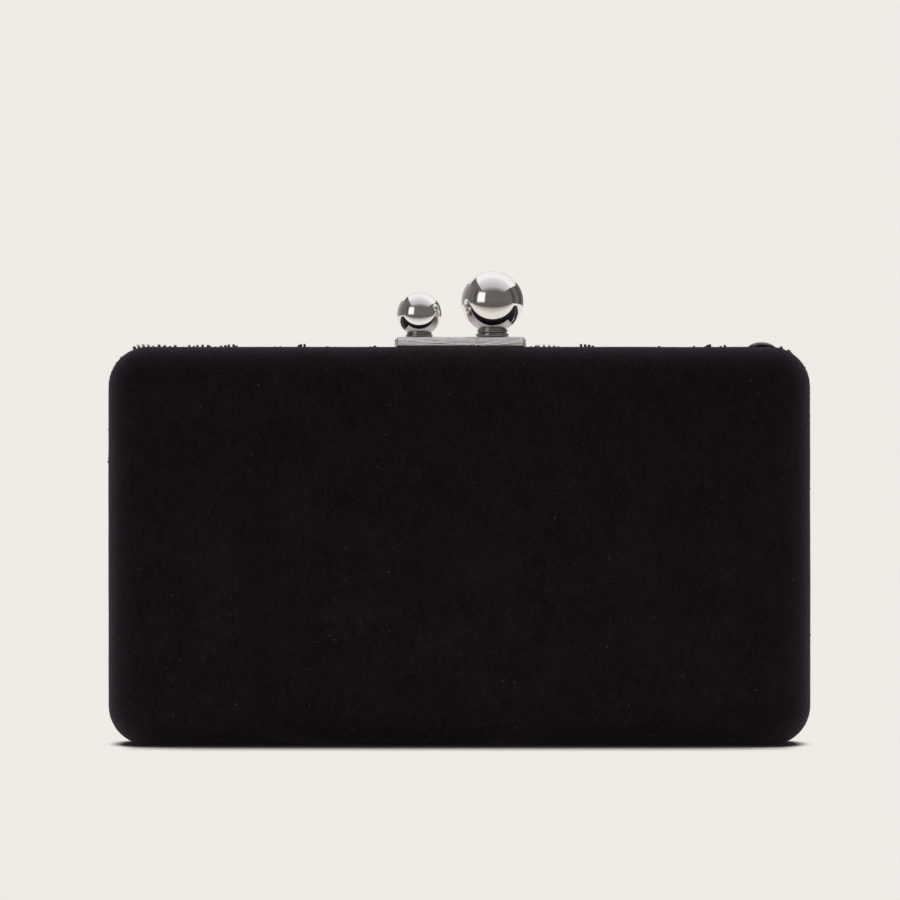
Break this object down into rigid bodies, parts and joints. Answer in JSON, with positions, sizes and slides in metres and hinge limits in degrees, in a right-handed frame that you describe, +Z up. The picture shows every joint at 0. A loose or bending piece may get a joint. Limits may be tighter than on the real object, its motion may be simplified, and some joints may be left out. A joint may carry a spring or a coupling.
{
  "type": "clutch purse",
  "caption": "Hard-shell box clutch in black suede with a beaded front, a bottom hinge and a pinch clasp of two polished balls.",
  "frame": {"origin": "middle of the footprint, on the parting plane, at the level the case stands on", "axes": "X along the case, Y through its depth with the beaded front at +Y, Z up through the balls"},
  "size_m": [0.185, 0.0356, 0.1252],
  "materials": {
    "black_suede": "matte black suede with a fine nap",
    "foam": "thin grey foam",
    "moulded_shell": "moulded, matte",
    "grey_board": "pasteboard, matte",
    "lining_satin": "charcoal satin",
    "binding_tape": "ribbed tape",
    "polished_nickel": "mirror polish",
    "latch_steel": "plain bright steel",
    "jet_glass": "opaque black glass, glossy"
  },
  "bodies": {
    "back_half": {"back_cover": "black_suede", "back_padding": "foam", "back_shell": "moulded_shell", "back_lining_card": "grey_board", "back_lining": "lining_satin", "back_frame": "polished_nickel", "hinge_pin": "latch_steel", "clasp_base_plate": "latch_steel", "clasp_cap": "polished_nickel", "clasp_rivets": "latch_steel", "large_ball": "polished_nickel", "large_ball_collar": "polished_nickel", "large_ball_stud": "latch_steel", "latch_spring": "latch_steel", "pocket_panel": "lining_satin", "pocket_binding": "binding_tape", "left_gusset": "lining_satin", "right_gusset": "lining_satin"},
    "front_half": {"front_cover": "black_suede", "front_padding": "foam", "front_shell": "moulded_shell", "front_lining_card": "grey_board", "front_lining": "lining_satin", "front_frame": "polished_nickel", "strike_bar": "polished_nickel", "strike_rivets": "latch_steel", "left_bead_spray": "jet_glass", "right_bead_spray": "jet_glass"},
    "latch": {"latch_slider": "latch_steel", "small_ball": "polished_nickel", "small_ball_collar": "polished_nickel", "small_ball_stud": "latch_steel"}
  },
  "joints": [
    {"name": "lid_hinge", "type": "hinge", "parent": "back_half", "child": "front_half", "pos_m": [0, 0, 0.00175], "axis": [-1, 0, 0], "range_deg": [0, 60], "deforming": ["left_gusset", "right_gusset"]},
    {"name": "latch_slide", "type": "slide", "parent": "back_half", "child": "latch", "axis": [1, 0, 0], "range_m": [0, 0.0025], "stiffness_N_per_m": 400, "springref_m": -0.0015, "deforming": ["latch_spring"]}
  ]
}
